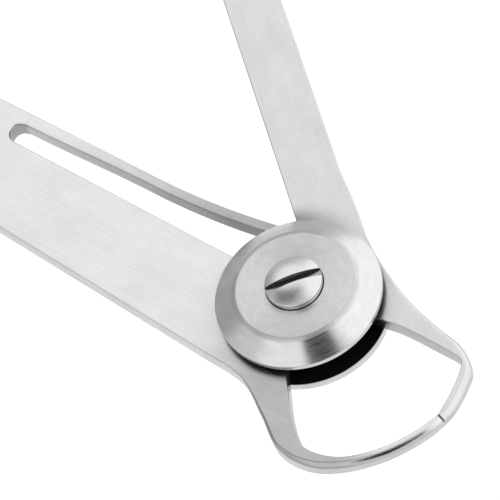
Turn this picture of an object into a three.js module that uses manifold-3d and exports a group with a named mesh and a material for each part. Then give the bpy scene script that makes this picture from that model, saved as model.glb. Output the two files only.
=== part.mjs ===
// Spring caliper: a 0 to 10 mm thickness gauge with two curved jaws, about 100 mm long.
// Two flat steel arms lap over each other in a hub of two discs. The jaws hang below the hub and
// meet at their tips. Above it the scale arm widens into an arc-shaped scale, and the pointer arm
// ends in a point that runs along the scale. A leaf, slit out of the scale arm, presses the pointer
// arm away, which holds the jaws shut; squeezing the arms together opens them.
//
// Frame, in millimetres: the origin is on the pivot axis at the back of the rear disc, +Z is the
// pivot axis towards the screw head, +Y runs up between the two arms and the jaws point to -Y.

import * as THREE from "three";
import { mergeVertices } from "three/addons/utils/BufferGeometryUtils.js";
import Module from "manifold-3d";

const wasm = await Module();
wasm.setup();

// ---- Driving dimensions ----------------------------------------------------------------------

// Plates
const armThickness = 1.8;
const runningGap = 0.05; // between faces and bores that turn on each other
const clearGap = 0.3; // between pieces that pass each other

// Hub discs
const discRadius = 8;
const rearDiscRadius = 8.15;
const rearDiscThickness = 1;
const discEdgeChamfer = 0.12;
const hubGap = 0.7; // from the arms' front faces to the front disc
const frontRimHeight = 0.5;
const bevelRadius = 6.07; // where the front disc's bevel ends
const bevelHeight = 1.25;
const plateauRadius = 5.66; // edge of the raised flat centre
const plateauHeight = 0.2;

// Pivot
const sleeveRadius = 2.2;
const sleeveSeatDepth = 0.4; // how far the sleeve sits in the rear disc
const sleeveFloor = 0.5; // metal left under the screw's hole
const screwRadius = 1.2;
const screwClearance = 0.1;
const screwEndGap = 0.3;
const screwHeadRadius = 2.8;
const screwHeadSide = 0.6;
const screwHeadDome = 0.55;
const screwSlotWidth = 0.8;
const screwSlotDepth = 0.75;
const screwSlotTurn = -20; // degrees
const bossRadius = 3.9; // half-thickness disc by which each arm laps the other
const thrustWasherRadius = 5.6;
const thrustWasherThickness = 0.25;
const waveWasherRadius = 4.9;
const waveWasherThickness = 0.15;
const waveCount = 3;

// Scale arm, whose long edges run in these directions, at these distances right of the pivot
const scaleOuterDirection = 105.2;
const scaleOuterOffset = -9.33;
const scaleInnerDirection = 108.2;
const scaleInnerOffset = 4.4;
const slotEdgeDirection = 107.7;
const slotEdgeOffset = 0.61;
const slotEndDistance = 37.05; // from the pivot to the middle of the slot's round end

// Arc-shaped scale
const scaleRadius = 80;
const scaleWidth = 11;
const scaleEndAngle = 61.5;
const scaleFillet = 4;
const scaleCornerRound = 2.5;

// Leaf spring
const leafWidth = 1.35; // at its root
const leafTipWidth = 1;
const leafTaper = 15; // the length over which it narrows
const leafBendDistance = 21; // from the pivot to where the leaf leaves the straight
const leafBendRadius = 83;
const leafTipDistance = 5.3; // from the pivot to the middle of the leaf's round tip, along the arm
const leafRootGap = 0.15;

// Pointer arm
const pointerDirection = 69.8;
const pointerOffset = 1.9;
const pointerWidth = 5.45;
const pointerTaper = 11;
const pointerTipGap = 0.5; // from the point to the scale
const pointerTipWidth = 0.3;

// Jaws
const jawReach = 19.65; // outer radius at the tips
const jawTipWidth = 0.8;
const jawTipAngle = -83.4;
const jawTipGap = 0.03;
const jawTipThickness = 1.15; // the jaws' backs slope, so that they are thinner at the tips
const jawThinningStart = 12.5; // below the pivot
const loopLeft = -10.87; // the outermost points of the two jaws
const loopRight = 8.13;
const webWidth = 1.12; // metal beyond the discs at the scale arm's waist

// ---- Heights ---------------------------------------------------------------------------------

const armsBack = rearDiscThickness;
const armsFront = armsBack + armThickness;
const lapHeight = armsBack + armThickness / 2;
const frontDiscBack = armsFront + hubGap;
const plateauFront = frontDiscBack + frontRimHeight + bevelHeight + plateauHeight;

// ---- Materials -------------------------------------------------------------------------------

const steel = (name, color, roughness) =>
  new THREE.MeshStandardMaterial({ name, color, roughness, metalness: 1 });
const satinSteel = steel("satin_steel", 0xc9c9ca, 0.36);
const turnedSteel = steel("turned_steel", 0xcfcfd0, 0.26);
const screwSteel = steel("screw_steel", 0xc4c4c5, 0.22);
const springSteel = steel("spring_steel", 0xb9b9bb, 0.34);
const sleeveSteel = steel("sleeve_steel", 0x8d8d90, 0.4);
const bronze = steel("bronze", 0xa98250, 0.4);

// ---- Helpers ---------------------------------------------------------------------------------

const radians = THREE.MathUtils.degToRad;
const point = (x, y) => new THREE.Vector2(x, y);
const polar = (radius, degrees) =>
  point(radius * Math.cos(radians(degrees)), radius * Math.sin(radians(degrees)));

// A point on a line that runs in a direction, at an offset to the right of the pivot.
function onLine(direction, offset, distance) {
  const along = polar(distance, direction);
  return along.add(polar(offset, direction - 90));
}

// The direction in which such a line crosses a circle round the pivot.
const crossing = (direction, offset, radius) =>
  direction - THREE.MathUtils.radToDeg(Math.asin(offset / radius));

function asSolid(geometry) {
  const bare = new THREE.BufferGeometry();
  bare.setAttribute("position", geometry.getAttribute("position"));
  if (geometry.index) bare.setIndex(geometry.index);
  const merged = mergeVertices(bare, 1e-4);
  return new wasm.Manifold(
    new wasm.Mesh({
      numProp: 3,
      vertProperties: new Float32Array(merged.getAttribute("position").array),
      triVerts: new Uint32Array(merged.index.array),
    }),
  );
}

function asGeometry(solid) {
  const mesh = solid.getMesh();
  const geometry = new THREE.BufferGeometry();
  geometry.setAttribute("position", new THREE.BufferAttribute(mesh.vertProperties, 3));
  geometry.setIndex(new THREE.BufferAttribute(mesh.triVerts, 1));
  geometry.computeVertexNormals();
  return geometry;
}

// A flat plate of an outline between two heights.
function plate(outline, bottom, top) {
  const geometry = new THREE.ExtrudeGeometry(outline, {
    depth: top - bottom,
    bevelEnabled: false,
    curveSegments: 14,
  });
  return asSolid(geometry.translate(0, 0, bottom));
}

// A round piece about the pivot, from a profile of [radius, height] points.
function turned(profile, segments = 72) {
  const points = profile.map(([radius, height]) => point(radius, height));
  return asSolid(new THREE.LatheGeometry(points, segments).rotateX(Math.PI / 2));
}

function disc(radius, bottom, top, segments = 72) {
  return turned([[0, bottom], [radius, bottom], [radius, top], [0, top]], segments);
}

const group = new THREE.Group();
group.name = "spring_caliper";
function add(name, solid, material) {
  const mesh = new THREE.Mesh(asGeometry(solid), material);
  mesh.name = name;
  group.add(mesh);
}

// ---- Jaws ------------------------------------------------------------------------------------

// Each edge of a jaw is one smooth curve. Its points near the tips are given as the distance in
// from the jaws' reach and the direction from the pivot, so the loop keeps its shape with reach.
const inFromReach = (distance, degrees) => polar(jawReach - distance, degrees);
const tipHalfGap = THREE.MathUtils.radToDeg(jawTipGap / 2 / jawReach);
const shoulderLeft = point(loopLeft, -jawReach + 8.35);
const shoulderRight = point(loopRight, -jawReach + 5.45);

const scaleJaw = {
  root: point(-5.8, -5.75),
  inner: [
    point(loopLeft + 3.1, -jawReach + 10.4),
    point(loopLeft + 2.03, -jawReach + 7.5),
    inFromReach(3.5, -122.9),
    inFromReach(2.5, -117),
    inFromReach(1.88, -110.8),
    inFromReach(1.4, -101.9),
    inFromReach(1.07, -92.7),
    inFromReach(jawTipWidth, jawTipAngle - tipHalfGap),
  ],
  outer: [
    inFromReach(0.05, -90),
    inFromReach(0.4, -100.9),
    inFromReach(1, -112.7),
    inFromReach(1.97, -123.5),
    shoulderLeft,
    point(loopLeft + 0.87, -jawReach + 12.25),
    point(-discRadius - webWidth, -2.7),
  ],
};

const pointerJaw = {
  root: point(4.03, -6.6),
  inner: [
    inFromReach(jawTipWidth, jawTipAngle + tipHalfGap),
    inFromReach(1.38, -76.5),
    inFromReach(1.9, -70),
    inFromReach(2.25, -66.5),
    point(loopRight - 1.02, -jawReach + 4.6),
    point(loopRight - 1.86, -jawReach + 7.58),
    point(loopRight - 2.96, -jawReach + 10.79),
  ],
  outer: [
    point(10.2, 5.6),
    point(8.6, 0.9),
    point(7.75, -3.5),
    point(7.5, -7.2),
    point(loopRight - 0.38, -jawReach + 8.3),
    shoulderRight,
    inFromReach(1.34, -65.8),
    inFromReach(0.7, -71.5),
    inFromReach(0.17, -78.5),
  ],
};

// ---- Arms ------------------------------------------------------------------------------------

// A block whose top is the jaws' sloping back, from the arms' back down to the tips.
function jawBackCut() {
  const side = 4 * jawReach;
  const rise = armThickness - jawTipThickness;
  const slope = Math.atan2(rise, jawReach - jawThinningStart);
  return asSolid(
    new THREE.BoxGeometry(side, side, side)
      .translate(0, -side / 2, -side / 2)
      .rotateX(-slope)
      .translate(0, -jawThinningStart, armsBack),
  );
}

// The bosses lap inside the hub: the scale arm's is the rear one, the pointer arm's the front one.
// Each arm is cut clear of the other's boss, and both are bored for the sleeve.
function lapped(body, bossBottom, bossTop, otherBottom, otherTop) {
  return body
    .subtract(disc(bossRadius + clearGap, otherBottom, otherTop))
    .add(disc(bossRadius, bossBottom, bossTop))
    .subtract(disc(sleeveRadius + runningGap, armsBack - 1, armsFront + 1));
}

function scaleArmOutline() {
  const innerRadius = scaleRadius - scaleWidth;
  const middleRadius = scaleRadius - scaleWidth / 2;
  const end = polar(middleRadius, scaleEndAngle);
  const leftAngle = crossing(scaleOuterDirection, scaleOuterOffset, scaleRadius);
  const cornerAngle = crossing(scaleInnerDirection, scaleInnerOffset, innerRadius);
  const filletAngle = cornerAngle - THREE.MathUtils.radToDeg(scaleFillet / innerRadius);
  const corner = polar(innerRadius, cornerAngle);
  const cornerDistance = Math.sqrt(innerRadius ** 2 - scaleInnerOffset ** 2);
  const slotInnerOffset = scaleInnerOffset - leafWidth;
  const slotLeft = onLine(slotEdgeDirection, slotEdgeOffset, slotEndDistance);
  const slotRight = onLine(scaleInnerDirection, slotInnerOffset, slotEndDistance);
  const slotMiddle = slotLeft.clone().add(slotRight).divideScalar(2);
  const slotTurn = slotRight.clone().sub(slotMiddle).angle();
  const nearHub = 1;

  const outline = new THREE.Shape();
  const start = onLine(slotEdgeDirection, slotEdgeOffset, nearHub);
  const outerStart = onLine(scaleOuterDirection, scaleOuterOffset, 8);
  const corners = (p) => outline.lineTo(p.x, p.y);
  outline.moveTo(start.x, start.y);
  corners(polar(bossRadius - 0.2, -155));
  corners(scaleJaw.root);
  outline.splineThru(scaleJaw.inner);
  corners(inFromReach(0, jawTipAngle - tipHalfGap));
  outline.splineThru([...scaleJaw.outer, onLine(scaleOuterDirection, scaleOuterOffset, 5), outerStart]);
  const outerCorner = polar(scaleRadius, leftAngle);
  const outerDistance = Math.sqrt(scaleRadius ** 2 - scaleOuterOffset ** 2) - scaleCornerRound;
  const roundAngle = leftAngle - THREE.MathUtils.radToDeg(scaleCornerRound / scaleRadius);
  const roundEnd = polar(scaleRadius, roundAngle);
  corners(onLine(scaleOuterDirection, scaleOuterOffset, outerDistance));
  outline.quadraticCurveTo(outerCorner.x, outerCorner.y, roundEnd.x, roundEnd.y);
  outline.absarc(0, 0, scaleRadius, radians(roundAngle), radians(scaleEndAngle), true);
  outline.absarc(
    end.x, end.y, scaleWidth / 2, radians(scaleEndAngle), radians(scaleEndAngle - 180), true,
  );
  outline.absarc(0, 0, innerRadius, radians(scaleEndAngle), radians(filletAngle), false);
  const filletEnd = onLine(scaleInnerDirection, scaleInnerOffset, cornerDistance - scaleFillet);
  outline.quadraticCurveTo(corner.x, corner.y, filletEnd.x, filletEnd.y);
  corners(onLine(scaleInnerDirection, scaleInnerOffset, slotEndDistance));
  corners(slotRight);
  outline.absarc(
    slotMiddle.x, slotMiddle.y, slotRight.distanceTo(slotLeft) / 2, slotTurn, slotTurn + Math.PI, false,
  );
  corners(start);
  return outline;
}

function scaleArm() {
  const body = plate(scaleArmOutline(), armsBack, armsFront).subtract(jawBackCut());
  const rearBossTop = lapHeight - runningGap;
  return lapped(body, armsBack, rearBossTop, rearBossTop, armsFront + 1);
}

function pointerArmOutline() {
  const tipRadius = scaleRadius - scaleWidth - pointerTipGap;
  const middleOffset = pointerOffset + pointerWidth / 2;
  const tipDistance = Math.sqrt(tipRadius ** 2 - middleOffset ** 2);
  const taperDistance = tipDistance - pointerTaper;
  const on = (offset, distance) => onLine(pointerDirection, offset, distance);

  const outline = new THREE.Shape();
  const corners = (p) => outline.lineTo(p.x, p.y);
  const start = on(pointerOffset, 1);
  outline.moveTo(start.x, start.y);
  corners(on(pointerOffset, taperDistance));
  corners(on(middleOffset - pointerTipWidth / 2, tipDistance));
  corners(on(middleOffset + pointerTipWidth / 2, tipDistance));
  corners(on(pointerOffset + pointerWidth, taperDistance));
  corners(on(pointerOffset + pointerWidth, 16));
  outline.splineThru([
    on(pointerOffset + pointerWidth, 13),
    ...pointerJaw.outer,
    inFromReach(0, jawTipAngle + tipHalfGap),
  ]);
  corners(pointerJaw.inner[0]);
  outline.splineThru([...pointerJaw.inner.slice(1), pointerJaw.root]);
  corners(polar(bossRadius - 0.2, -55));
  corners(start);
  return outline;
}

function pointerArm() {
  const back = armsBack + runningGap;
  const body = plate(pointerArmOutline(), back, armsFront).subtract(jawBackCut());
  return lapped(body, lapHeight, armsFront, back - 1, lapHeight);
}

// The leaf runs down beside the slot, bends towards the pointer arm and ends in a round tip that
// bears on the pointer arm's edge inside the hub. It is one metal with the scale arm at its root.
function leafSpring() {
  const steps = 24;
  const rootDistance = slotEndDistance - leafRootGap;
  const widthAt = (distance) => {
    const share = THREE.MathUtils.smoothstep(rootDistance - distance, 0, leafTaper);
    return THREE.MathUtils.lerp(leafWidth, leafTipWidth, share);
  };
  const bend = (distance) => {
    const past = Math.max(0, leafBendDistance - distance);
    return leafBendRadius - Math.sqrt(leafBendRadius ** 2 - past ** 2);
  };
  const edge = (side) =>
    Array.from({ length: steps + 1 }, (_, i) => {
      const distance = rootDistance + ((leafTipDistance - rootDistance) * i) / steps;
      const lean = Math.asin(Math.max(0, leafBendDistance - distance) / leafBendRadius);
      const halfWidth = widthAt(distance) / 2;
      const middleOffset = scaleInnerOffset - halfWidth + bend(distance);
      const middle = onLine(scaleInnerDirection, middleOffset, distance);
      const turn = scaleInnerDirection - 90 + THREE.MathUtils.radToDeg(lean);
      return middle.add(polar(side * halfWidth, turn));
    });
  const right = edge(1);
  const left = edge(-1);
  const tip = right[steps].clone().add(left[steps]).divideScalar(2);
  const tipTurn = right[steps].clone().sub(tip).angle();

  const outline = new THREE.Shape();
  outline.moveTo(right[0].x, right[0].y);
  right.slice(1).forEach((p) => outline.lineTo(p.x, p.y));
  outline.absarc(tip.x, tip.y, leafTipWidth / 2, tipTurn, tipTurn - Math.PI, true);
  left.reverse().forEach((p) => outline.lineTo(p.x, p.y));
  return plate(outline, armsBack + runningGap, armsFront);
}

// ---- Hub -------------------------------------------------------------------------------------

// The rear disc is closed at the back and has a seat for the sleeve in its front.
function rearDisc() {
  const seatFloor = rearDiscThickness - sleeveSeatDepth;
  const seatRadius = sleeveRadius + runningGap;
  return turned([
    [0, 0],
    [rearDiscRadius - discEdgeChamfer, 0],
    [rearDiscRadius, discEdgeChamfer],
    [rearDiscRadius, rearDiscThickness - discEdgeChamfer],
    [rearDiscRadius - discEdgeChamfer, rearDiscThickness],
    [seatRadius, rearDiscThickness],
    [seatRadius, seatFloor],
    [0, seatFloor],
  ]);
}

function frontDisc() {
  const boreRadius = screwRadius + screwClearance;
  const rimTop = frontDiscBack + frontRimHeight;
  return turned([
    [boreRadius, frontDiscBack],
    [discRadius, frontDiscBack],
    [discRadius, rimTop],
    [bevelRadius, rimTop + bevelHeight],
    [plateauRadius, plateauFront],
    [boreRadius, plateauFront],
    [boreRadius, frontDiscBack],
  ]);
}

// The sleeve carries both arms and holds the front disc off them. The screw goes into its hole.
function pivotSleeve() {
  const bottom = rearDiscThickness - sleeveSeatDepth;
  const holeRadius = screwRadius + screwClearance;
  return turned([
    [0, bottom],
    [sleeveRadius, bottom],
    [sleeveRadius, frontDiscBack],
    [holeRadius, frontDiscBack],
    [holeRadius, bottom + sleeveFloor],
    [0, bottom + sleeveFloor],
  ]);
}

function pivotScrew() {
  const shankEnd = rearDiscThickness - sleeveSeatDepth + sleeveFloor + screwEndGap;
  const sideTop = plateauFront + screwHeadSide;
  const headTop = sideTop + screwHeadDome;
  const domeRadius = (screwHeadRadius ** 2 + screwHeadDome ** 2) / (2 * screwHeadDome);
  const domeSteps = 6;
  const dome = Array.from({ length: domeSteps + 1 }, (_, i) => {
    const radius = screwHeadRadius * (1 - i / domeSteps);
    return [radius, headTop - domeRadius + Math.sqrt(domeRadius ** 2 - radius ** 2)];
  });
  const body = turned([
    [0, shankEnd],
    [screwRadius, shankEnd],
    [screwRadius, plateauFront],
    [screwHeadRadius, plateauFront],
    ...dome,
  ]);
  const slot = new THREE.BoxGeometry(4 * screwHeadRadius, screwSlotWidth, 2 * screwSlotDepth)
    .rotateZ(radians(screwSlotTurn))
    .translate(0, 0, headTop);
  return body.subtract(asSolid(slot));
}

const washerBore = sleeveRadius + runningGap;
const thrustWasherBack = armsFront + runningGap;

function thrustWasher() {
  const top = thrustWasherBack + thrustWasherThickness;
  return disc(thrustWasherRadius, thrustWasherBack, top).subtract(disc(washerBore, 0, top + 1));
}

// A thin ring with waves round it, which takes up the play between the washer and the front disc.
function waveWasher() {
  const bottom = thrustWasherBack + thrustWasherThickness + runningGap;
  const room = frontDiscBack - runningGap - bottom;
  const swing = (room - waveWasherThickness) / 2;
  const flat = turned([
    [washerBore, 0],
    [waveWasherRadius, 0],
    [waveWasherRadius, waveWasherThickness],
    [washerBore, waveWasherThickness],
    [washerBore, 0],
  ]);
  return flat.warp((vertex) => {
    const turn = Math.atan2(vertex[1], vertex[0]);
    vertex[2] += bottom + swing + swing * Math.sin(waveCount * turn);
  });
}

// ---- Assembly --------------------------------------------------------------------------------

add("scale_arm", scaleArm(), satinSteel);
add("leaf_spring", leafSpring(), springSteel);
add("pointer_arm", pointerArm(), satinSteel);
add("rear_disc", rearDisc(), turnedSteel);
add("front_disc", frontDisc(), turnedSteel);
add("pivot_sleeve", pivotSleeve(), sleeveSteel);
add("pivot_screw", pivotScrew(), screwSteel);
add("thrust_washer", thrustWasher(), bronze);
add("wave_washer", waveWasher(), springSteel);

export default group;
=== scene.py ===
# %% [markdown]
# # The looks of a spring caliper
# A spring caliper measures thickness: squeezing its two long arms opens two curved jaws, and a point
# runs along a scale. All of it is satin steel, held together by one screw between two turned discs.
#
# This file takes the working model as a fixed frame and gives it its finished surfaces. Everything is
# in metres, with +Z along the pivot towards the screw head and the jaws pointing to -Y.

# %% Load the frame
from math import asin, atan2, cos, pi, radians, sin, sqrt

import bmesh
import bpy
from mathutils import Matrix, Quaternion, Vector


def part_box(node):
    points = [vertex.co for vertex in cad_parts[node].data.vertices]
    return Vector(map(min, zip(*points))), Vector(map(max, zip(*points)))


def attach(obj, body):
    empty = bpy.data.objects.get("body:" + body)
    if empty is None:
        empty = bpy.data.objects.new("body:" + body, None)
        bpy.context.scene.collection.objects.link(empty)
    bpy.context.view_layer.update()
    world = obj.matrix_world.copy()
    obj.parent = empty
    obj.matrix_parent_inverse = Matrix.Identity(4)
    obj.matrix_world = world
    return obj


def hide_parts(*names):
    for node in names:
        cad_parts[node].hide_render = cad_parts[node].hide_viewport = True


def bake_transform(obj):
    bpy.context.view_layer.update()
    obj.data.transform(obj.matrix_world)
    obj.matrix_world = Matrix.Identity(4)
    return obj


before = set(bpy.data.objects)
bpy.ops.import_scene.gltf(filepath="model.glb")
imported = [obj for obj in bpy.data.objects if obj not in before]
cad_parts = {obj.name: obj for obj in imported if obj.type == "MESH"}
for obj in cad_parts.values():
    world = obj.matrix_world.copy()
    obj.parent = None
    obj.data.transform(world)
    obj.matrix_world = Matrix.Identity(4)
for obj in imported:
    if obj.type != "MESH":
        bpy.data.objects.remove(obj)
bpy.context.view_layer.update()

mm = 0.001
print("pieces of the frame:", sorted(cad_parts))

# %% [markdown]
# ## Camera
# A close view of the hub and the jaws, from in front and above, with a long lens. A long lens keeps the
# discs' ellipses regular, as in a catalogue picture. The camera is placed by its direction from the
# point that it looks at, and then rolled about its own line of sight.

# %% Place the camera
camera_azimuth = radians(-104.6)
camera_elevation = radians(54.65)
camera_roll = radians(-24.56)
camera_distance = 306.34 * mm
camera_aim = Vector((-0.28, 8.48, 2.0)) * mm

to_camera = Vector(
    (
        cos(camera_elevation) * cos(camera_azimuth),
        cos(camera_elevation) * sin(camera_azimuth),
        sin(camera_elevation),
    )
)
camera_data = bpy.data.cameras.new("camera")
camera_data.sensor_width = 36
camera_data.lens = 232.2
camera = bpy.data.objects.new("camera", camera_data)
camera.rotation_mode = "QUATERNION"
camera.rotation_quaternion = to_camera.to_track_quat("Z", "Y") @ Quaternion((0, 0, 1), camera_roll)
camera.location = camera_aim + to_camera * camera_distance
bpy.context.scene.collection.objects.link(camera)
bpy.context.scene.camera = camera
print("camera at", [round(c / mm, 1) for c in camera.location], "mm")

# %% [markdown]
# ## Heights and radii
# The finished pieces follow the frame's own boxes, so the heights of the arms, discs and screw are read
# from there. The widths of the bevel and of the rims can't be read from a box, and are named here.

# %% Read the sizes from the frame
arm_low, arm_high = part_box("scale_arm")
rear_low, rear_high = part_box("rear_disc")
front_low, front_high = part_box("front_disc")
screw_low, screw_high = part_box("pivot_screw")

arms_back = arm_low.z
arms_front = arm_high.z
jaw_reach = -arm_low.y
scale_radius = arm_high.y
bevel_radius = 6.07 * mm
plateau_radius = 5.66 * mm
rim_height = 0.5 * mm
bevel_height = 1.25 * mm
screw_bore = 1.3 * mm
screw_shank_radius = 1.2 * mm
seat_gap = 0.06 * mm
seat_depth = 0.15 * mm
screw_head_radius = screw_high.x - seat_gap
seat_radius = screw_head_radius + seat_gap
screw_side = 0.6 * mm
screw_side_top = front_high.z + screw_side
screw_dome = 0.55 * mm
sleeve_seat_radius = 2.25 * mm
sleeve_seat_depth = 0.4 * mm
print("arms from", round(arms_back / mm, 2), "to", round(arms_front / mm, 2), "mm high")

# %% [markdown]
# ## Small helpers
# Each finished piece is an object at the origin with its place in its mesh. Modifiers are worked out
# once and kept as a plain mesh, because a plain mesh is what other programs read.

# %% Make a mesh and an object, and settle the modifiers


def mesh_from(build, name, smooth=False):
    mesh = bpy.data.meshes.new(name)
    build.to_mesh(mesh)
    build.free()
    for face in mesh.polygons:
        face.use_smooth = smooth
    return mesh


def new_object(name, mesh):
    piece = bpy.data.objects.new(name, mesh)
    bpy.context.scene.collection.objects.link(piece)
    return piece


def settle(piece):
    bpy.context.view_layer.update()
    evaluated = piece.evaluated_get(bpy.context.evaluated_depsgraph_get())
    mesh = bpy.data.meshes.new_from_object(evaluated)
    mesh.name = piece.name
    piece.modifiers.clear()
    piece.data = mesh
    triangles = sum(len(face.vertices) - 2 for face in mesh.polygons)
    print(piece.name, "has", triangles, "triangles")
    return piece


def even_normals(piece):
    """Large flat faces keep their own direction, so only the narrow rounded edges shade softly."""
    modifier = piece.modifiers.new("even normals", "WEIGHTED_NORMAL")
    modifier.keep_sharp = True
    modifier.weight = 100


# %% [markdown]
# ## Materials
# All the metal is the same stainless steel, but each surface was finished in its own way: the arms were
# brushed and then tumbled, the discs were turned on a lathe, and the walls of the arms were only ground.
# The patterns are noise on Object coordinates, in metres, so a feature of 1 mm has a scale near 1000.

# %% Node helpers


def steel(name, roughness, anisotropy=0.0):
    finish = bpy.data.materials.new(name)
    finish.use_nodes = True
    shader = finish.node_tree.nodes["Principled BSDF"]
    shader.inputs["Metallic"].default_value = 1.0
    shader.inputs["Roughness"].default_value = roughness
    shader.inputs["Anisotropic"].default_value = anisotropy
    return finish, finish.node_tree, shader


def node(tree, kind, **settings):
    made = tree.nodes.new(kind)
    for key, value in settings.items():
        if key in made.inputs:
            made.inputs[key].default_value = value
        else:
            setattr(made, key, value)
    return made


def join(tree, source, target):
    tree.links.new(source, target)


def worked_out(tree, kind, operation, values):
    """The outputs of a node that works on one or two values. Each is a number, a vector or a socket."""
    made = node(tree, kind, operation=operation)
    for socket, value in zip(made.inputs, values):
        if isinstance(value, bpy.types.NodeSocket):
            join(tree, value, socket)
        elif value is not None:
            socket.default_value = value
    return made.outputs


def arithmetic(tree, operation, first, second=None):
    return worked_out(tree, "ShaderNodeMath", operation, (first, second))[0]


def vector_maths(tree, operation, first, second=None):
    """The two outputs are Vector, and Value for a length or a dot product."""
    return worked_out(tree, "ShaderNodeVectorMath", operation, (first, second))


def product(tree, *values):
    result = values[0]
    for value in values[1:]:
        result = arithmetic(tree, "MULTIPLY", result, value)
    return result


def less(tree, value, *shades):
    for shade in shades:
        value = arithmetic(tree, "SUBTRACT", value, shade)
    return value


def spread(tree, value, low, high, to_low, to_high):
    """Maps a range of one value onto a range of another, with soft ends."""
    made = node(tree, "ShaderNodeMapRange", interpolation_type="SMOOTHSTEP")
    join(tree, value, made.inputs["Value"])
    for name, number in (("From Min", low), ("From Max", high), ("To Min", to_low), ("To Max", to_high)):
        made.inputs[name].default_value = number
    return made.outputs["Result"]


def vary(tree, noise, low, high):
    """Most of the noise lies between 0.3 and 0.7, so that is the range which is mapped."""
    return spread(tree, noise, 0.3, 0.7, low, high)


def place_on_object(tree):
    return node(tree, "ShaderNodeTexCoord").outputs["Object"]


def parts_of(tree, vector):
    parts = node(tree, "ShaderNodeSeparateXYZ")
    join(tree, vector, parts.inputs["Vector"])
    return parts.outputs


def streaks(tree, angle, along, across, detail=3.0):
    """Noise drawn out in one direction, as brushing leaves it. The two scales are per metre."""
    turned_place = node(tree, "ShaderNodeMapping")
    turned_place.inputs["Rotation"].default_value = (0, 0, -angle)
    scaled_place = node(tree, "ShaderNodeMapping")
    scaled_place.inputs["Scale"].default_value = (along, across, across)
    noise = node(tree, "ShaderNodeTexNoise", Scale=1.0, Detail=detail, Roughness=0.6)
    join(tree, place_on_object(tree), turned_place.inputs["Vector"])
    join(tree, turned_place.outputs["Vector"], scaled_place.inputs["Vector"])
    join(tree, scaled_place.outputs["Vector"], noise.inputs["Vector"])
    return noise.outputs["Fac"]


def grey(tree, value, shader):
    """Drives the base colour with a grey value."""
    colour = node(tree, "ShaderNodeCombineColor")
    for channel in colour.inputs:
        if channel.name in ("Red", "Green", "Blue"):
            join(tree, value, channel)
    join(tree, colour.outputs["Color"], shader.inputs["Base Color"])


def relief(tree, height, depth, shader):
    bump = node(tree, "ShaderNodeBump", Strength=1.0, Distance=depth)
    join(tree, height, bump.inputs["Height"])
    join(tree, bump.outputs["Normal"], shader.inputs["Normal"])


def looks_forwards(tree):
    """1 on faces that look along the pivot towards the screw head, 0 on walls, -1 on back faces."""
    return parts_of(tree, node(tree, "ShaderNodeTexCoord").outputs["Normal"])["Z"]


def from_pivot(tree):
    """The distance from the pivot's axis."""
    flat = vector_maths(tree, "MULTIPLY", place_on_object(tree), (1, 1, 0))["Vector"]
    return vector_maths(tree, "LENGTH", flat)["Value"]


def faces_and_walls(tree, faces, walls, on_face):
    """Takes the tone of the faces where the mask is 1, and the tone of the walls where it is 0."""
    off_face = arithmetic(tree, "SUBTRACT", 1.0, on_face)
    return arithmetic(tree, "ADD", product(tree, faces, on_face), product(tree, walls, off_face))


# %% [markdown]
# The arms: fine brushing along each arm, a slow cloudy change of tone left by the tumbling, and a few
# fine scratches at an angle to it. The walls are painted darker than the faces, as painted shade. Painted
# shade also darkens some places: the metal close to the hub, the metal beside the disc, the jaw, the walls
# of the loop and of the slit, and a thin line where the two jaws meet.

# %% Where shade is painted on the arms


def across(tree, direction):
    """How far a place lies to the right of a line through the pivot, and how far along that line."""
    place = place_on_object(tree)
    rightwards = (sin(direction), -cos(direction), 0)
    forwards = (cos(direction), sin(direction), 0)
    return [vector_maths(tree, "DOT_PRODUCT", place, axis)["Value"] for axis in (rightwards, forwards)]


loop_centre = Vector((-1.4, -11, 0)) * mm
contact_direction = radians(-83.4)
contact_half_width = 0.1 * mm
contact_edge = 0.06 * mm
contact_shade = 0.6
disc_shade_width = 7.5 * mm
slit_start = 8 * mm
slit_end = 38.6 * mm
loop_shade = 0.1


# Painted shade on the arm beside the front disc, where the disc's edge lies over it.
def stain_beside_disc(tree, offset, depth):
    """Painted shade on the metal near the disc, strongest at the arm's inner edge."""
    towards_edge = spread(tree, offset, 1 * mm, disc_shade_width, depth, 0.0)
    near_disc = spread(tree, from_pivot(tree), 8.8 * mm, 11 * mm, 1.0, 0.0)
    return product(tree, towards_edge, near_disc)


def shade_of_jaw(tree, distance, depth):
    """The jaw is darker than the arm, apart from its bright tip. Distances are negative in the jaw."""
    on_jaw = spread(tree, distance, -3 * mm, 9 * mm, depth, 0.0)
    off_tip = spread(tree, distance, -16.5 * mm, -13 * mm, 0.0, 1.0)
    return product(tree, on_jaw, off_tip)


def shade_in_loop(tree, distance):
    """On the walls that look at the middle of the loop between the jaws."""
    away = vector_maths(tree, "SUBTRACT", place_on_object(tree), loop_centre)["Vector"]
    normal = node(tree, "ShaderNodeTexCoord").outputs["Normal"]
    outward = vector_maths(tree, "DOT_PRODUCT", away, normal)["Value"]
    below_pivot = spread(tree, distance, -4 * mm, -2 * mm, loop_shade, 0.0)
    return product(tree, arithmetic(tree, "LESS_THAN", outward, 0.0), below_pivot)


def shade_in_slit(tree, offset, distance, depth):
    """On the walls of the slit between the scale arm and the leaf."""
    right_of_arm = arithmetic(tree, "GREATER_THAN", offset, 0.3 * mm)
    past_start = arithmetic(tree, "GREATER_THAN", distance, slit_start)
    before_end = arithmetic(tree, "LESS_THAN", distance, slit_end)
    return product(tree, right_of_arm, past_start, before_end, depth)


def shade_at_contact(tree, distance):
    """A thin line on the faces, where the tips of the jaws meet."""
    from_contact = arithmetic(tree, "ABSOLUTE", across(tree, contact_direction)[0])
    near = contact_half_width - contact_edge
    far = contact_half_width + contact_edge
    line = spread(tree, from_contact, near, far, contact_shade, 0.0)
    return product(tree, line, arithmetic(tree, "LESS_THAN", distance, -15 * mm))


# %% Satin steel of the arms


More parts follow.
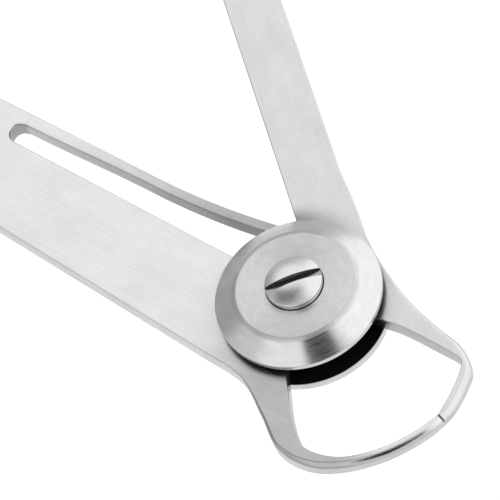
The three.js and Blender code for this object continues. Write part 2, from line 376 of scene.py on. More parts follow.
def satin_steel(
    name,
    direction,
    tone,
    wall_tone,
    hub_shade=0,
    hub_reach=10.5 * mm,
    jaw_shade=0,
    slit_shade=0,
    disc_shade=0,
):
    """Brushed faces, and walls painted darker as painted shade. Tones and shades are shares of white,
    hub_reach is a distance.
    """
    roughness = 0.3
    worn_smoother = 0.14
    finish, tree, shader = steel(name, roughness)
    brushing = streaks(tree, direction, 260, 9000)
    scratches = streaks(tree, radians(5), 420, 15000, detail=2.0)
    clouds = streaks(tree, direction, 190, 330, detail=4.0)
    offset, distance = across(tree, direction)
    forwards_or_back = arithmetic(tree, "ABSOLUTE", looks_forwards(tree))
    near_hub = spread(tree, from_pivot(tree), 7.5 * mm, hub_reach, hub_shade, 0.0)

    scratched = spread(tree, scratches, 0.35, 0.65, -0.02, 0.02)
    faces = less(
        tree,
        arithmetic(tree, "ADD", vary(tree, clouds, tone - 0.03, tone + 0.03), scratched),
        near_hub,
        stain_beside_disc(tree, offset, disc_shade),
        shade_of_jaw(tree, distance, jaw_shade),
        shade_at_contact(tree, distance),
    )
    # Painted shade: the walls take a darker tone than the faces, with more of it near the hub, in the loop
    # and in the slit.
    walls = less(
        tree,
        vary(tree, clouds, wall_tone - 0.03, wall_tone + 0.03),
        product(tree, near_hub, 0.65),
        shade_in_loop(tree, distance),
        shade_in_slit(tree, offset, distance, slit_shade),
    )
    on_face = spread(tree, forwards_or_back, 0.25, 0.8, 0.0, 1.0)
    grey(tree, faces_and_walls(tree, faces, walls, on_face), shader)

    # The slanted edges between face and wall are worn a little smoother than either.
    off_wall = spread(tree, forwards_or_back, 0.1, 0.4, 0.0, worn_smoother)
    on_flat = spread(tree, forwards_or_back, 0.9, 0.98, 0.0, worn_smoother)
    rough = vary(tree, brushing, roughness - 0.04, roughness + 0.05)
    join(tree, less(tree, rough, less(tree, off_wall, on_flat)), shader.inputs["Roughness"])
    relief(tree, arithmetic(tree, "ADD", brushing, scratches), 0.0012 * mm, shader)
    return finish


scale_direction = radians(107.9)
pointer_direction = radians(69.8)
scale_arm_steel = satin_steel(
    "satin_steel_scale_arm",
    scale_direction,
    tone=0.88,
    wall_tone=0.56,
    hub_shade=0.04,
    jaw_shade=0.32,
    slit_shade=0.22,
)
pointer_arm_steel = satin_steel(
    "satin_steel_pointer_arm", pointer_direction, tone=0.78, wall_tone=0.52, hub_shade=0.1, disc_shade=0.46
)
leaf_steel = satin_steel(
    "spring_steel_leaf", scale_direction, tone=0.88, wall_tone=0.42, hub_shade=0.4, hub_reach=36 * mm
)

# %% [markdown]
# The discs were turned, so their marks run round the axis: noise that depends mostly on the radius makes
# rings. Fine rings also stretch reflections across themselves. The shader's anisotropy does that, with a
# tangent that runs round the axis.

# %% Turned steel of the discs


def rings(tree, per_metre, along, detail=3.0):
    """Noise that changes quickly with the radius and slowly round the axis."""
    parts = parts_of(tree, place_on_object(tree))
    turn = arithmetic(tree, "ARCTAN2", parts["Y"], parts["X"])
    place = node(tree, "ShaderNodeCombineXYZ")
    join(tree, product(tree, from_pivot(tree), per_metre), place.inputs["X"])
    join(tree, product(tree, turn, along), place.inputs["Y"])
    noise = node(tree, "ShaderNodeTexNoise", Scale=1.0, Detail=detail, Roughness=0.6)
    join(tree, place.outputs["Vector"], noise.inputs["Vector"])
    return noise.outputs["Fac"]


def band(tree, value, inner, outer, edge, depth):
    """The depth between two values and 0 outside them, changing softly over twice the edge."""
    rising = spread(tree, value, inner - edge, inner + edge, 0.0, depth)
    falling = spread(tree, value, outer - edge, outer + edge, 0.0, depth)
    return less(tree, rising, falling)


def turned_steel(name, flat_tone, bevel_tone, wall_tone):
    """A dull flat centre and a brighter, smoother bevel, with painted shade: darker walls, a near-black
    back and seat.
    """
    flat_roughness = 0.36
    bevel_roughness = 0.2
    line_half_width = 0.04 * mm
    soft_edge = 0.02 * mm
    finish, tree, shader = steel(name, flat_roughness, anisotropy=0.7)
    shader.inputs["Anisotropic Rotation"].default_value = 0.25
    marks = rings(tree, 9000, 3.0)
    arcs = rings(tree, 1800, 4.0)
    radius = from_pivot(tree)
    forwards = looks_forwards(tree)

    faces = spread(tree, radius, 5.9 * mm, 6.1 * mm, flat_tone, bevel_tone)
    faces = arithmetic(tree, "ADD", faces, vary(tree, arcs, -0.04, 0.03))
    faces = arithmetic(tree, "ADD", faces, vary(tree, marks, -0.025, 0.025))
    # Painted shade on the step between the flat centre and the bevel, darker still in thin lines at its
    # two edges.
    faces = less(tree, faces, band(tree, radius, plateau_radius, bevel_radius, soft_edge, 0.04))
    for line in (plateau_radius, bevel_radius):
        inner, outer = line - line_half_width, line + line_half_width
        faces = less(tree, faces, band(tree, radius, inner, outer, soft_edge, 0.08))
    # Painted shade: the seat round the screw head is nearly black.
    off_seat = spread(tree, radius, seat_radius - soft_edge, seat_radius + 0.03 * mm, 0.04, 1.0)
    # Painted shade: the walls are darker than the faces, and the faces that look back are nearly black.
    walls = spread(tree, forwards, -0.9, -0.4, 0.03, wall_tone)
    on_face = spread(tree, forwards, 0.3, 0.7, 0.0, 1.0)
    toned = faces_and_walls(tree, product(tree, faces, off_seat), product(tree, walls, off_seat), on_face)
    grey(tree, toned, shader)

    rough = spread(tree, radius, plateau_radius, bevel_radius, flat_roughness, bevel_roughness)
    rough = arithmetic(tree, "ADD", rough, vary(tree, marks, -0.03, 0.03))
    join(tree, rough, shader.inputs["Roughness"])
    tangent = node(tree, "ShaderNodeTangent", direction_type="RADIAL", axis="Z")
    join(tree, tangent.outputs["Tangent"], shader.inputs["Tangent"])
    relief(tree, marks, 0.0006 * mm, shader)
    return finish


front_disc_steel = turned_steel("turned_steel_front_disc", flat_tone=0.74, bevel_tone=0.84, wall_tone=0.58)

# %% [markdown]
# The rear disc's inner face is painted black as painted shade, so nothing shines in the gap behind the
# front
# disc. It is one material: a mask picks the faces that look forwards, and there the metal gives way to
# black.

# %% Rear disc, screw and the hidden pieces


def rear_disc_finish():
    metal_roughness = 0.3
    finish, tree, shader = steel("turned_steel_rear_disc", metal_roughness)
    # Painted shade: the faces that look forwards are painted a dull black, without metal.
    painted_black_shade = spread(tree, looks_forwards(tree), 0.6, 0.9, 0.0, 1.0)
    unshaded = arithmetic(tree, "SUBTRACT", 1.0, painted_black_shade)
    marks = rings(tree, 7000, 3.0)
    toned = product(tree, vary(tree, marks, 0.55, 0.63), unshaded)
    grey(tree, arithmetic(tree, "ADD", toned, 0.004), shader)
    join(tree, unshaded, shader.inputs["Metallic"])
    rough = arithmetic(tree, "ADD", product(tree, painted_black_shade, 0.5), metal_roughness)
    join(tree, rough, shader.inputs["Roughness"])
    relief(tree, marks, 0.002 * mm, shader)
    shader.inputs["Specular IOR Level"].default_value = 0.1
    return finish


slot_width = 0.8 * mm
slot_depth = 0.75 * mm
slot_turn = radians(-20)
slot_tone = 0.4
head_tone = 0.8


def screw_finish():
    """Polished steel, with painted shade in the slot, at the foot of the head and under the edge of its
    dome.
    """
    soft_edge = 0.02 * mm
    finish, tree, shader = steel("screw_steel_head", 0.2)
    place = place_on_object(tree)
    turned_place = node(tree, "ShaderNodeMapping")
    turned_place.inputs["Rotation"].default_value = (0, 0, -slot_turn)
    join(tree, place, turned_place.inputs["Vector"])
    aside = arithmetic(tree, "ABSOLUTE", parts_of(tree, turned_place.outputs["Vector"])["Y"])
    slot_edge = slot_width / 2
    # Painted shade: dark in the slot, at the foot of the head and in a line under the edge of the dome.
    head_shading = spread(tree, aside, slot_edge + 0.002 * mm, slot_edge + 0.03 * mm, slot_tone, head_tone)
    height = parts_of(tree, place)["Z"]
    above_foot = spread(tree, height, front_high.z + soft_edge, front_high.z + 0.1 * mm, 0.1, 1.0)
    line_bottom, line_top = screw_side_top - 0.14 * mm, screw_side_top - 0.04 * mm
    edge_line = band(tree, height, line_bottom, line_top, soft_edge, 0.5)
    head_shading = less(tree, product(tree, head_shading, above_foot), edge_line)
    lines = streaks(tree, radians(35), 900, 16000)
    grey(tree, arithmetic(tree, "ADD", head_shading, vary(tree, lines, 0.0, 0.06)), shader)
    join(tree, vary(tree, lines, 0.17, 0.26), shader.inputs["Roughness"])
    relief(tree, lines, 0.001 * mm, shader)
    return finish


def hidden_finish(name, colour, roughness):
    """Turned metal for the pieces inside, in dark colours that are painted shade: its marks vary between
    the colour and a darker one.
    """
    finish, tree, shader = steel(name, roughness)
    marks = rings(tree, 6000, 2.0)
    mix = node(tree, "ShaderNodeMix", data_type="RGBA")
    ends = {"A": (*[0.75 * c for c in colour], 1), "B": (*colour, 1)}
    for socket in mix.inputs:
        if socket.type == "RGBA":
            socket.default_value = ends[socket.name]
    join(tree, marks, mix.inputs["Factor"])
    mixed = [socket for socket in mix.outputs if socket.type == "RGBA"][0]
    join(tree, mixed, shader.inputs["Base Color"])
    relief(tree, marks, 0.002 * mm, shader)
    return finish


rear_disc_steel = rear_disc_finish()
screw_steel = screw_finish()
# Painted shade: the pieces inside the hub get very dark colours, so the gap between the discs looks black.
sleeve_steel = hidden_finish("sleeve_steel_ground", (0.09, 0.09, 0.095), 0.4)
bronze = hidden_finish("bronze_washer", (0.16, 0.1, 0.05), 0.45)
washer_steel = hidden_finish("spring_steel_washer", (0.1, 0.1, 0.1), 0.4)

carried_over = {"pivot_sleeve": sleeve_steel, "thrust_washer": bronze, "wave_washer": washer_steel}
for name, finish in carried_over.items():
    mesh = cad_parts[name].data
    mesh.materials.clear()
    mesh.materials.append(finish)
    print(name, "is now", finish.name)

# %% [markdown]
# ## The turned pieces
# A disc or a screw head is a profile turned about the axis, so one function turns a list of (radius,
# height) corners. Real corners are never sharp, and a corner may carry a rounding radius of its own.

# %% Turn a profile
turned_segments = 288
sharp_angle = radians(35)


def rounded_profile(corners, steps=5):
    """Corners are (radius, height, rounding). Each rounding becomes an arc of a few short steps."""
    points = []
    for index, (x, z, rounding) in enumerate(corners):
        here = Vector((x, z))
        if not rounding:
            points.append(here)
            continue
        before = (Vector(corners[index - 1][:2]) - here).normalized()
        after = (Vector(corners[(index + 1) % len(corners)][:2]) - here).normalized()
        half = before.angle(after) / 2
        reach = rounding * cos(half) / sin(half)
        centre = here + (before + after).normalized() * (rounding / sin(half))
        start = here + before * reach - centre
        end = here + after * reach - centre
        for step in range(steps + 1):
            points.append(centre + start.slerp(end, step / steps).normalized() * rounding)
    return points


def ring_of_verts(build, radius, height):
    """A ring round the axis, or one point for a place on the axis."""
    if radius < 1e-9:
        return [build.verts.new((0, 0, height))]
    angles = [2 * pi * k / turned_segments for k in range(turned_segments)]
    return [build.verts.new((radius * cos(a), radius * sin(a), height)) for a in angles]


def turned(name, corners, closed=False):
    """The profile runs anticlockwise round the metal, radius to the right and height upwards."""
    build = bmesh.new()
    loops = [ring_of_verts(build, x, z) for x, z in rounded_profile(corners)]
    pairs = list(zip(loops, loops[1:])) + ([(loops[-1], loops[0])] if closed else [])
    for lower, upper in pairs:
        for k in range(turned_segments):
            sides = ((lower, k), (lower, k + 1), (upper, k + 1), (upper, k))
            around = list(dict.fromkeys(loop[place % len(loop)] for loop, place in sides))
            if len(around) > 2:
                build.faces.new(around)
    bmesh.ops.recalc_face_normals(build, faces=build.faces)
    mesh = mesh_from(build, name, smooth=True)
    mesh.set_sharp_from_angle(angle=sharp_angle)
    piece = new_object(name, mesh)
    even_normals(piece)
    return settle(piece)


# %% [markdown]
# The front disc has a thin straight rim, a wide bevel, a narrow step and a flat centre. The fine
# roundings on its rim and step catch the light as thin lines. The screw head stands in a shallow seat,
# which is painted dark as painted shade, so a dark line runs round it.

# %% Front disc
rim_top = front_low.z + rim_height
front_disc = turned(
    "front_disc_turned",
    [
        (screw_bore, front_low.z, 0),
        (front_high.x, front_low.z, 0.06 * mm),
        (front_high.x, rim_top, 0.07 * mm),
        (bevel_radius, rim_top + bevel_height, 0.05 * mm),
        (plateau_radius, front_high.z, 0.1 * mm),
        (seat_radius, front_high.z, 0.03 * mm),
        (seat_radius, front_high.z - seat_depth, 0),
        (screw_bore, front_high.z - seat_depth, 0),
    ],
    closed=True,
)
front_disc.data.materials.append(front_disc_steel)

# %% Rear disc
rear_disc = turned(
    "rear_disc_turned",
    [
        (0, rear_low.z, 0),
        (rear_high.x, rear_low.z, 0.2 * mm),
        (rear_high.x, rear_high.z, 0.1 * mm),
        (sleeve_seat_radius, rear_high.z, 0),
        (sleeve_seat_radius, rear_high.z - sleeve_seat_depth, 0),
        (0, rear_high.z - sleeve_seat_depth, 0),
    ],
)
rear_disc.data.materials.append(rear_disc_steel)

# %% [markdown]
# The screw has a short straight side and a low dome. Its slot is cut with a box, by a Boolean, as a
# slitting saw would cut it, and a tiny Bevel takes the burr off the new edges.

# %% Pivot screw
dome_radius = (screw_head_radius**2 + screw_dome**2) / (2 * screw_dome)
dome_centre = screw_side_top + screw_dome - dome_radius
dome_steps = 22
dome = []
for step in range(1, dome_steps + 1):
    radius = screw_head_radius * (1 - step / dome_steps)
    dome.append((radius, dome_centre + sqrt(dome_radius**2 - radius**2), 0))

screw = turned(
    "pivot_screw_slotted",
    [
        (0, screw_low.z, 0),
        (screw_shank_radius, screw_low.z, 0.15 * mm),
        (screw_shank_radius, front_high.z - seat_depth, 0),
        (screw_head_radius, front_high.z - seat_depth, 0.04 * mm),
        (screw_head_radius, screw_side_top, 0.06 * mm),
        *dome,
    ],
)

saw = bmesh.new()
bmesh.ops.create_cube(saw, size=1)
bmesh.ops.scale(saw, vec=(4 * screw_head_radius, slot_width, 2 * slot_depth), verts=saw.verts)
dome_top = screw_side_top + screw_dome
saw.transform(Matrix.Translation((0, 0, dome_top)) @ Matrix.Rotation(slot_turn, 4, "Z"))
saw_blade = new_object("slitting_saw", mesh_from(saw, "slitting_saw"))
cut = screw.modifiers.new("slot", "BOOLEAN")
cut.operation = "DIFFERENCE"
cut.solver = "EXACT"
cut.object = saw_blade
burr = screw.modifiers.new("burr", "BEVEL")
burr.limit_method = "ANGLE"
burr.angle_limit = radians(50)
burr.width = 0.035 * mm
burr.segments = 2
settle(screw)
bpy.data.objects.remove(saw_blade)
screw.data.set_sharp_from_angle(angle=sharp_angle)
even_normals(screw)
settle(screw)
screw.data.materials.clear()
screw.data.materials.append(screw_steel)

# %% [markdown]
# ## The flat arms
# The arms are plates with a shaped outline. Their edges were broken by hand on a belt: lightly along the
# arms, and generously on the outside of the jaws, which are slanted at the tips. The front face is
# extruded a few times, and each copy of its rim is moved inwards and upwards along the slanted profile,
# by a width that grows smoothly from the waist to the tips.

# %% Widths of the broken edges
light_width = 0.12 * mm
tip_width = 0.56 * mm
tip_end_width = 0.09 * mm
hidden_width = 0.02 * mm  # under the discs, and at the leaf's root
tip_depth_share = 0.7
tip_straight_share = 0.6
hub_radius = 5 * mm


def smooth_step(value, start, end):
    share = min(1, max(0, (value - start) / (end - start)))
    return share * share * (3 - 2 * share)


def is_tip_end(point, wall):
    """The small end faces, by which the two jaws touch, look along the circle that the tips run on."""
    along = Vector((-point.y, point.x)).normalized()
    return point.y < -17 * mm and point.x > 0 and abs(along.dot(wall.xy)) > 0.9


def broken_width(point, wall):
    """How far inwards an edge is broken, from its place and the direction of the wall below it."""
    if point.xy.length < hub_radius:
        return hidden_width
    if is_tip_end(point, wall):
        return tip_end_width
    outward = (point.xy - loop_centre.xy).dot(wall.xy) > 0
    if outward:
        at_waist = smooth_step(-point.y, 2 * mm, 8 * mm)
        at_tip = smooth_step(-point.y, 9 * mm, 17 * mm)
        return light_width + (0.5 * at_waist + 0.5 * at_tip) * (tip_width - light_width)
    return light_width


def corner_offset(first, second):
    """The inward step of a rim corner between two walls, each given as (outward direction, width)."""
    (a, first_width), (b, second_width) = first, second
    if a.dot(b) > cos(radians(25)):
        width = (first_width + second_width) / 2
        return -(a + b) * width / (1 + a.dot(b)), width
    cross = a.x * b.y - a.y * b.x
    x = (second_width * a.y - first_width * b.y) / cross
    y = (first_width * b.x - second_width * a.x) / cross
    return Vector((x, y)), max(first_width, second_width)


# %% Break the front edges


def spot(vert):
    """The place of a corner seen from the front, rounded, so that every copy of a rim has the same."""
    grid = 0.0001 * mm
    return round(vert.co.x / grid), round(vert.co.y / grid)


def edges_of(faces):
    return list(dict.fromkeys(edge for face in faces for edge in face.edges))


def middle_of(edge):
    return (edge.verts[0].co + edge.verts[1].co) / 2


def is_front(face, height):
    return face.normal.z > 0.9 and face.calc_center_median().z > height - 0.01 * mm


def rims_above(build, front, walls, ring, steps):
    """Extrudes the front faces a few times, and lists the corners of each copy of their rim by place."""
    rims = [ring]
    faces = front
    for step in range(steps):
        made = bmesh.ops.extrude_face_region(build, geom=faces + edges_of(faces))["geom"]
        faces = [part for part in made if isinstance(part, bmesh.types.BMFace)]
        verts = [part for part in made if isinstance(part, bmesh.types.BMVert)]
        rims.append({spot(vert): vert for vert in verts if spot(vert) in walls})
    return rims


def break_front_edges(build, front_height, skip, steps=7):
    build.normal_update()
    front = [face for face in build.faces if is_front(face, front_height)]
    inside = set(front)
    walls = {}
    ring = {}
    for edge in edges_of(front):
        for wall in [face for face in edge.link_faces if face not in inside]:
            middle = middle_of(edge)
            width = hidden_width if skip(middle) else broken_width(middle, wall.normal)
            for vert in edge.verts:
                walls.setdefault(spot(vert), []).append((wall.normal.xy.normalized(), width))
                ring[spot(vert)] = vert
    offsets = {place: corner_offset(*sides) for place, sides in walls.items()}
    for step, rim in enumerate(rims_above(build, front, walls, ring, steps)):
        angle = radians(90) * step / steps
        for place, vert in rim.items():
            inward, width = offsets[place]
            slant = smooth_step(width, light_width, tip_width)
            depth = width * (1 - slant * (1 - tip_depth_share))
            straight = tip_straight_share * slant
            across_share = (1 - cos(angle)) * (1 - straight) + step / steps * straight
            depth_share = (1 - sin(angle)) * (1 - straight) + (1 - step / steps) * straight
            vert.co.x += inward.x * across_share
            vert.co.y += inward.y * across_share
            vert.co.z -= depth * depth_share


# %% [markdown]
# The back edges only get a light, even Bevel. Edges that turn sharply stay sharp in the shading.

# %% Finish a plate


def cut_across(build, point, direction):
    """Cuts the faces where a plane crosses them, and gives the new corners and edges."""
    geometry = build.verts[:] + build.edges[:] + build.faces[:]
    cut = bmesh.ops.bisect_plane(build, geom=geometry, dist=1e-8, plane_co=point, plane_no=direction)
    return cut["geom_cut"]


def merged_copy(node_name):
    """A copy of a frame piece with whole flat faces. A seam across the pivot keeps each free of holes."""
    build = bmesh.new()
    build.from_mesh(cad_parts[node_name].data)
    bmesh.ops.remove_doubles(build, verts=build.verts, dist=0.0005 * mm)
    for part in cut_across(build, Vector((0, 0, 0)), (0, 1, 0)):
        if isinstance(part, bmesh.types.BMEdge):
            part.seam = True
    bmesh.ops.dissolve_limit(
        build, angle_limit=radians(0.1), verts=build.verts, edges=build.edges, delimit={"SEAM"}
    )
    return build


def is_flat(face):
    return abs(face.normal.z) > 0.9


def softened(name, build, skip=lambda point: False):
    """Breaks the edges between the faces and the outer walls of a plate, apart from those to skip."""
    weights = build.edges.layers.float.new("bevel_weight_edge")
    build.normal_update()
    for edge in build.edges:
        if len(edge.link_faces) != 2 or is_flat(edge.link_faces[0]) == is_flat(edge.link_faces[1]):
            continue
        middle = middle_of(edge)
        behind = min(face.normal.z for face in edge.link_faces) < -0.9
        if behind and middle.xy.length > hub_radius and not skip(middle):
            edge[weights] = 1
    break_front_edges(build, max(vert.co.z for vert in build.verts), skip)
    build.normal_update()
    for edge in build.edges:
        edge.smooth = True
        if edge[weights] == 0 and len(edge.link_faces) == 2:
            edge.smooth = edge.calc_face_angle(0) < radians(30)
    piece = new_object(name, mesh_from(build, name, smooth=True))
    bevel = piece.modifiers.new("broken back edges", "BEVEL")
    bevel.limit_method = "WEIGHT"
    bevel.width = light_width
    bevel.segments = 3
    bevel.use_clamp_overlap = False
    bevel.miter_outer = "MITER_SHARP"
    even_normals(piece)
    settle(piece)
    piece.data.materials.clear()
    return piece


leaf_root = Vector((-7.987, 36.217, 1.9)) * mm  # the middle of its joint with the scale arm
root_reach = 1.0 * mm


def at_leaf_root(point):
    return (point.xy - leaf_root.xy).length < root_reach


scale_arm = softened("scale_arm_plate", merged_copy("scale_arm"), at_leaf_root)
scale_arm.data.materials.append(scale_arm_steel)
pointer_arm = softened("pointer_arm_plate", merged_copy("pointer_arm"))
pointer_arm.data.materials.append(pointer_arm_steel)

# %% [markdown]
# ## The leaf spring
# The leaf is slit out of the scale arm and stays one metal with it at its root. It has to bend in use, so
# its mesh is cut across every millimetre before its edges are rounded, and its root is drawn up to the
# arm's own metal.

# %% Leaf spring
leaf_angle = radians(108.2)
leaf_direction = Vector((cos(leaf_angle), sin(leaf_angle), 0))
root_gap = 0.21 * mm
leaf_build = merged_copy("leaf_spring")
for distance in range(6, 37):
    cut_across(leaf_build, leaf_direction * distance * mm, leaf_direction)
bmesh.ops.remove_doubles(leaf_build, verts=leaf_build.verts, dist=0.002 * mm)
root_distance = max(vert.co.dot(leaf_direction) for vert in leaf_build.verts)


def short_of_root(point):
    return root_distance - point.dot(leaf_direction)


for vert in leaf_build.verts:
    if short_of_root(vert.co) < 0.05 * mm:
        vert.co += leaf_direction * root_gap
leaf = softened("leaf_spring_bent", leaf_build, lambda point: short_of_root(point) < 0.01 * mm)
leaf.data.materials.append(leaf_steel)

# %% [markdown]
# ## The graduations
# The jaws open by 10 mm while the point crosses the scale. Each tip swings on a circle, so an opening is
# the chord of the swing: the mark for an opening stands at twice the arcsine of half that opening over the
# reach of the jaws. Geometry Nodes place one small bar for each tenth of a millimetre.

# %% A node tree for the marks


def graduation_tree():
    tree = bpy.data.node_groups.new("scale_graduations", "GeometryNodeTree")
    face = tree.interface
    face.new_socket("Geometry", in_out="OUTPUT", socket_type="NodeSocketGeometry")
    inputs = {
        "Mark Count": "NodeSocketInt",
        "Opening Step": "NodeSocketFloat",
        "Jaw Reach": "NodeSocketFloat",
        "Zero Angle": "NodeSocketFloat",
        "Start Radius": "NodeSocketFloat",
        "Short Length": "NodeSocketFloat",
        "Medium Length": "NodeSocketFloat",
        "Long Length": "NodeSocketFloat",
        "Mark Width": "NodeSocketFloat",
        "Mark Thickness": "NodeSocketFloat",
        "Face Height": "NodeSocketFloat",
        "Ink": "NodeSocketMaterial",
    }
    for name, kind in inputs.items():
        face.new_socket(name, in_out="INPUT", socket_type=kind)
    given = node(tree, "NodeGroupInput").outputs
    result = node(tree, "NodeGroupOutput")

    def maths(operation, first, second=None):
        return arithmetic(tree, operation, first, second)

    def choose(test, when_true, when_false):
        made = node(tree, "GeometryNodeSwitch", input_type="FLOAT")
        join(tree, test, made.inputs["Switch"])
        join(tree, when_true, made.inputs["True"])
        join(tree, when_false, made.inputs["False"])
        return made.outputs["Output"]

    index = node(tree, "GeometryNodeInputIndex").outputs["Index"]
    chord = maths("MULTIPLY", index, given["Opening Step"])
    half_share = maths("DIVIDE", chord, maths("MULTIPLY", given["Jaw Reach"], 2.0))
    swing = maths("MULTIPLY", maths("ARCSINE", half_share), 2.0)
    angle = maths("ADD", swing, given["Zero Angle"])
    whole = maths("LESS_THAN", maths("MODULO", index, 10.0), 0.5)
    half = maths("LESS_THAN", maths("MODULO", index, 5.0), 0.5)
    other_length = choose(half, given["Medium Length"], given["Short Length"])
    length = choose(whole, given["Long Length"], other_length)
    middle = maths("ADD", given["Start Radius"], maths("DIVIDE", length, 2.0))

    place = node(tree, "ShaderNodeCombineXYZ")
    join(tree, product(tree, maths("COSINE", angle), middle), place.inputs["X"])
    join(tree, product(tree, maths("SINE", angle), middle), place.inputs["Y"])
    join(tree, given["Face Height"], place.inputs["Z"])
    turn = node(tree, "ShaderNodeCombineXYZ")
    join(tree, angle, turn.inputs["Z"])
    size = node(tree, "ShaderNodeCombineXYZ")
    join(tree, length, size.inputs["X"])
    join(tree, given["Mark Width"], size.inputs["Y"])
    join(tree, given["Mark Thickness"], size.inputs["Z"])

    row = node(tree, "GeometryNodeMeshLine")
    join(tree, given["Mark Count"], row.inputs["Count"])
    placed = node(tree, "GeometryNodeSetPosition")
    join(tree, row.outputs["Mesh"], placed.inputs["Geometry"])
    join(tree, place.outputs["Vector"], placed.inputs["Position"])
    bar = node(tree, "GeometryNodeMeshCube")
    bars = node(tree, "GeometryNodeInstanceOnPoints")
    join(tree, placed.outputs["Geometry"], bars.inputs["Points"])
    join(tree, bar.outputs["Mesh"], bars.inputs["Instance"])
    join(tree, turn.outputs["Vector"], bars.inputs["Rotation"])
    join(tree, size.outputs["Vector"], bars.inputs["Scale"])
    real = node(tree, "GeometryNodeRealizeInstances")
    inked = node(tree, "GeometryNodeSetMaterial")
    join(tree, bars.outputs["Instances"], real.inputs["Geometry"])
    join(tree, real.outputs["Geometry"], inked.inputs["Geometry"])
    join(tree, given["Ink"], inked.inputs["Material"])
    join(tree, inked.outputs["Geometry"], result.inputs["Geometry"])
    return tree


# %% Fill the marks with ink


def scale_ink():
    ink = bpy.data.materials.new("scale_ink")
    ink.use_nodes = True
    tree = ink.node_tree
    shader = tree.nodes["Principled BSDF"]
    shader.inputs["Roughness"].default_value = 0.55
    wear = streaks(tree, 0, 2500, 2500)
    grey(tree, spread(tree, wear, 0.3, 0.75, 0.012, 0.045), shader)
    return ink


ink = scale_ink()
pointer_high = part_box("pointer_arm")[1]
zero_angle = atan2(pointer_high.y, pointer_high.x)
scale_band = 11 * mm
scale_inner_radius = scale_radius - scale_band
marks = new_object("scale_marks", bpy.data.meshes.new("scale_marks"))
maker = marks.modifiers.new("graduations", "NODES")
maker.node_group = graduation_tree()
values = {
    "Mark Count": 101,
    "Opening Step": 0.1 * mm,
    "Jaw Reach": jaw_reach,
    "Zero Angle": zero_angle,
    "Start Radius": scale_inner_radius + 0.35 * mm,
    "Short Length": 2.0 * mm,
    "Medium Length": 2.9 * mm,
    "Long Length": 3.8 * mm,
    "Mark Width": 0.1 * mm,
    "Mark Thickness": 0.012 * mm,
    "Face Height": arms_front,
    "Ink": ink,
}
for socket in maker.node_group.interface.items_tree:
    if socket.in_out == "INPUT":
        maker[socket.identifier] = values[socket.name]
settle(marks)

# %% [markdown]
# The numbers are text turned into a mesh: each one stands upright on the line of its mark. They are only a
# count of millimetres, from 0 to 10.

# %% Numbers on the scale
number_size = 2.9 * mm
number_radius = scale_inner_radius + 6.6 * mm
numbers = bmesh.new()
for count in range(11):
    text = bpy.data.curves.new("number", "FONT")
    text.body = str(count)
    text.size = number_size
    text.align_x = "CENTER"
    text.align_y = "CENTER"
    text.extrude = 0.006 * mm
    text.resolution_u = 4
    written = new_object("number", text)
    bpy.context.view_layer.update()
    flat = bpy.data.meshes.new_from_object(written.evaluated_get(bpy.context.evaluated_depsgraph_get()))
    angle = zero_angle + 2 * asin(count * mm / (2 * jaw_reach))
    place = Vector((cos(angle) * number_radius, sin(angle) * number_radius, arms_front))
    flat.transform(Matrix.Translation(place) @ Matrix.Rotation(angle - pi / 2, 4, "Z"))
    numbers.from_mesh(flat)
    bpy.data.objects.remove(written)
    bpy.data.meshes.remove(flat)
bmesh.ops.remove_doubles(numbers, verts=numbers.verts, dist=0.0002 * mm)
scale_numbers = new_object("scale_numbers", mesh_from(numbers, "scale_numbers"))
scale_numbers.data.materials.append(ink)
print("numbers 0 to 10 at", round(number_radius / mm, 1), "mm from the pivot")

# %% [markdown]
# ## Floor and studio
# Bare steel shows what stands round it, so the studio matters more than the lamps. It is drawn in the
# world's own shader, by direction: a pale room, a white wall of light on the right, a soft light behind
# for the flat faces, a darker corner on the left, and the dark shape of the camera and its stand, which
# the bevel and the round jaws mirror as a dark patch. The pale floor glows a little, so it stays white
# without a hard shadow.

# %% Studio by direction
studio = bpy.data.worlds.new("studio")
bpy.context.scene.world = studio
studio.use_nodes = True
studio_tree = studio.node_tree
backdrop = studio_tree.nodes["Background"]
looking = node(studio_tree, "ShaderNodeTexCoord").outputs["Generated"]


def direction_of(azimuth, elevation):
    a, e = radians(azimuth), radians(elevation)
    return Vector((cos(e) * cos(a), cos(e) * sin(a), sin(e)))


def panel(below, azimuth, elevation, inner, outer, light):
    """Lays one soft-edged round panel over what is there. Angles are in degrees."""
    facing = vector_maths(studio_tree, "DOT_PRODUCT", looking, direction_of(azimuth, elevation))["Value"]
    cover = spread(studio_tree, facing, cos(radians(outer)), cos(radians(inner)), 0, 1)
    kept = product(studio_tree, below, arithmetic(studio_tree, "SUBTRACT", 1.0, cover))
    return arithmetic(studio_tree, "ADD", kept, product(studio_tree, cover, light))


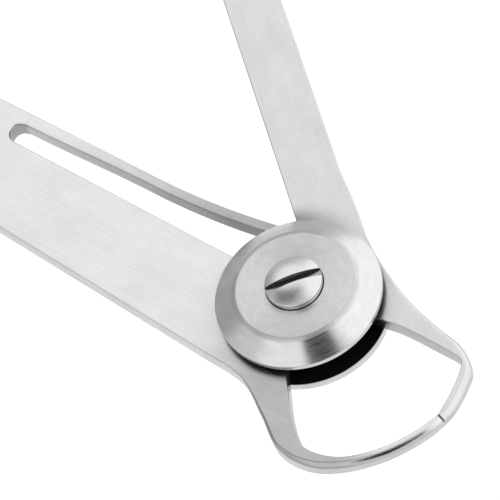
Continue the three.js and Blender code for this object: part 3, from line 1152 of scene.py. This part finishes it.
room = node(studio_tree, "ShaderNodeValue")
room.outputs[0].default_value = 0.62
light = room.outputs[0]
light = panel(light, -10, 25, 45, 62, 1.05)  # wall of light on the right
light = panel(light, 114, 18, 16, 32, 0.36)  # dark corner at the left
light = panel(light, 118, 68, 4, 26, 0.15)  # dark corner above
light = panel(light, 75, 2, 18, 30, 0.5)  # low and dull, behind
light = panel(light, 76, 50, 12, 28, 0.96)  # behind, for the flat faces
light = panel(light, -160, 48, 12, 30, 0.9)  # low light in front at the left
light = panel(light, -108, 57, 11, 17, 0.01)  # the camera and its stand
light = panel(light, 0, -90, 78, 90, 0.8)  # below the horizon
join(studio_tree, light, backdrop.inputs["Color"])

# %% Floor
floor_depth = 60 * mm
pale_within = 0.14
dull_beyond = 0.36
floor_build = bmesh.new()
bmesh.ops.create_circle(floor_build, cap_ends=True, segments=96, radius=2.0)
floor = new_object("floor", mesh_from(floor_build, "floor"))
floor.location.z = -floor_depth
floor_finish = bpy.data.materials.new("floor_white")
floor_finish.use_nodes = True
floor_tree = floor_finish.node_tree
floor_shader = floor_tree.nodes["Principled BSDF"]
floor_shader.inputs["Roughness"].default_value = 0.9
floor_shader.inputs["Emission Color"].default_value = (1, 1, 1, 1)
from_middle = from_pivot(floor_tree)
grey(floor_tree, spread(floor_tree, from_middle, pale_within, dull_beyond, 0.88, 0.6), floor_shader)
glow = spread(floor_tree, from_middle, pale_within, dull_beyond, 0.42, 0.06)
join(floor_tree, glow, floor_shader.inputs["Emission Strength"])
floor.data.materials.append(floor_finish)
bpy.context.scene.view_settings.view_transform = "Standard"

# %% [markdown]
# ## Joining the looks to the moving frame
# Each finished piece apart from the leaf rides on the body whose piece it stands for. The leaf's mesh is
# only fixed where it lies, and the frame's leaf is hidden.

# %% Ride and replace
riders = [
    (scale_arm, "scale_side", "scale_arm", "satin_steel"),
    (pointer_arm, "pointer_side", "pointer_arm", "satin_steel"),
    (front_disc, "scale_side", "front_disc", "turned_steel"),
    (rear_disc, "scale_side", "rear_disc", "turned_steel"),
    (screw, "scale_side", "pivot_screw", "screw_steel"),
]
for piece, body, stands_for, slot_name in riders:
    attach(piece, body)
    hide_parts(stands_for)
for piece in (marks, scale_numbers):
    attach(piece, "scale_side")

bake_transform(leaf)
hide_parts("leaf_spring")
